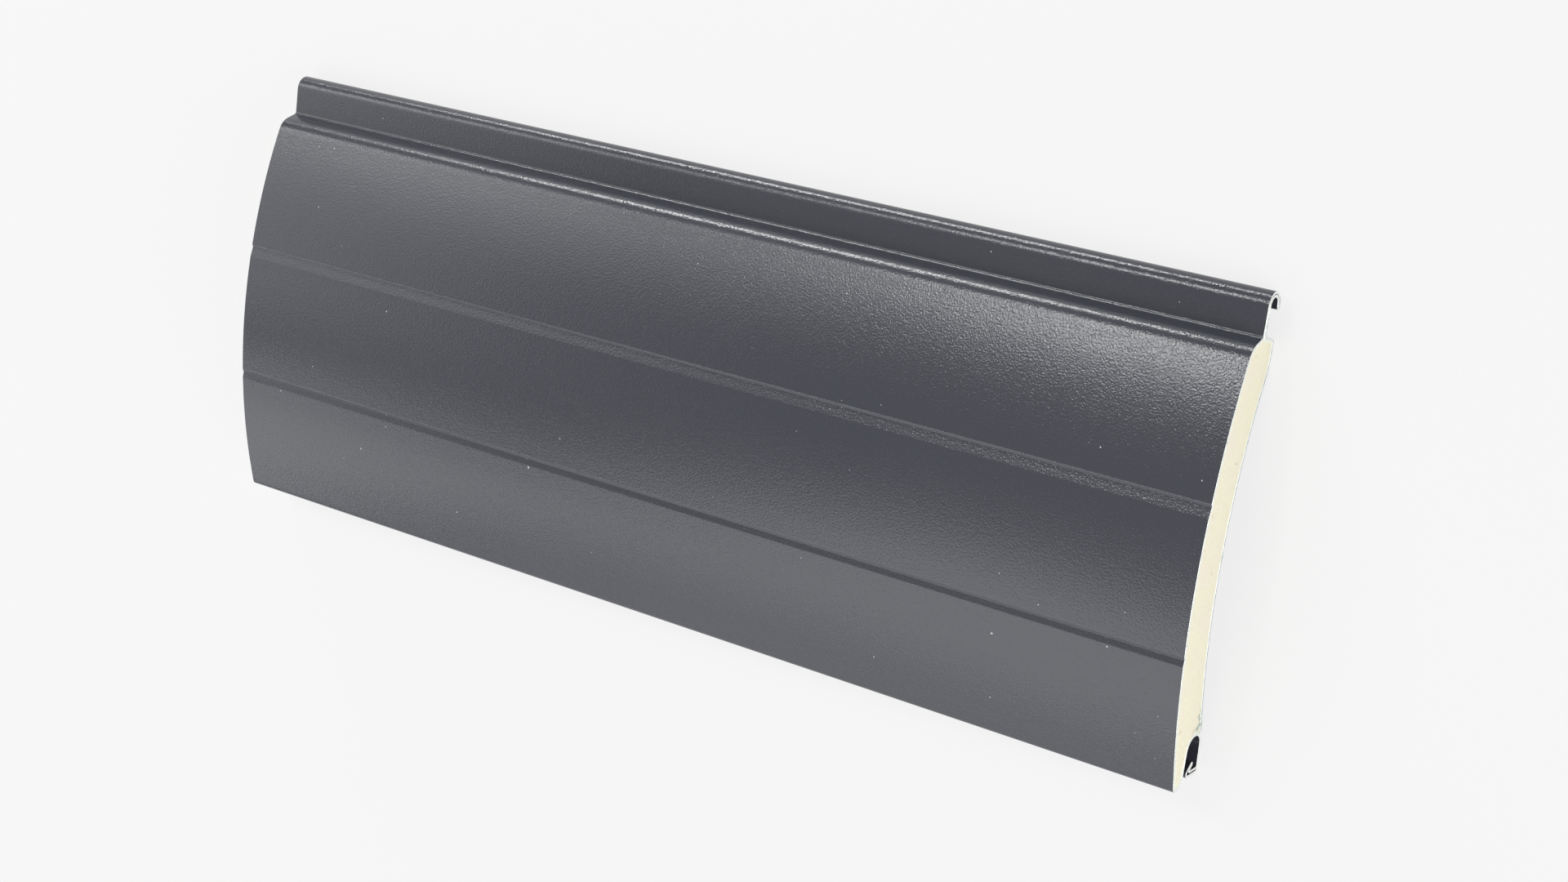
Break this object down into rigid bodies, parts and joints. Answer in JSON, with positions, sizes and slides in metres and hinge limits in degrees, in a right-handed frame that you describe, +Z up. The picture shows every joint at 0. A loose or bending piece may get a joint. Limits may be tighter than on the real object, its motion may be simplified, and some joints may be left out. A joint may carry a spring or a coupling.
{
  "type": "roller door slat",
  "caption": "Foam-filled roll-formed roller door slat with a bulged painted face, a hooked edge and a hooked-under socket edge.",
  "frame": {"origin": "middle of the slat's length and width, on the floor plane under its hollow back", "axes": "+X along the slat's length, +Y across the slat toward the hook, +Z up, out of the painted bulged face"},
  "size_m": [0.207, 0.0838, 0.0155],
  "materials": {
    "paint": "dark grey coil coating with a fine leathery texture, semi-gloss",
    "foam": "cut cream foam with fine open pores, matte"
  },
  "bodies": {
    "root": {"skin": "paint", "foam_core": "foam"}
  },
  "joints": []
}
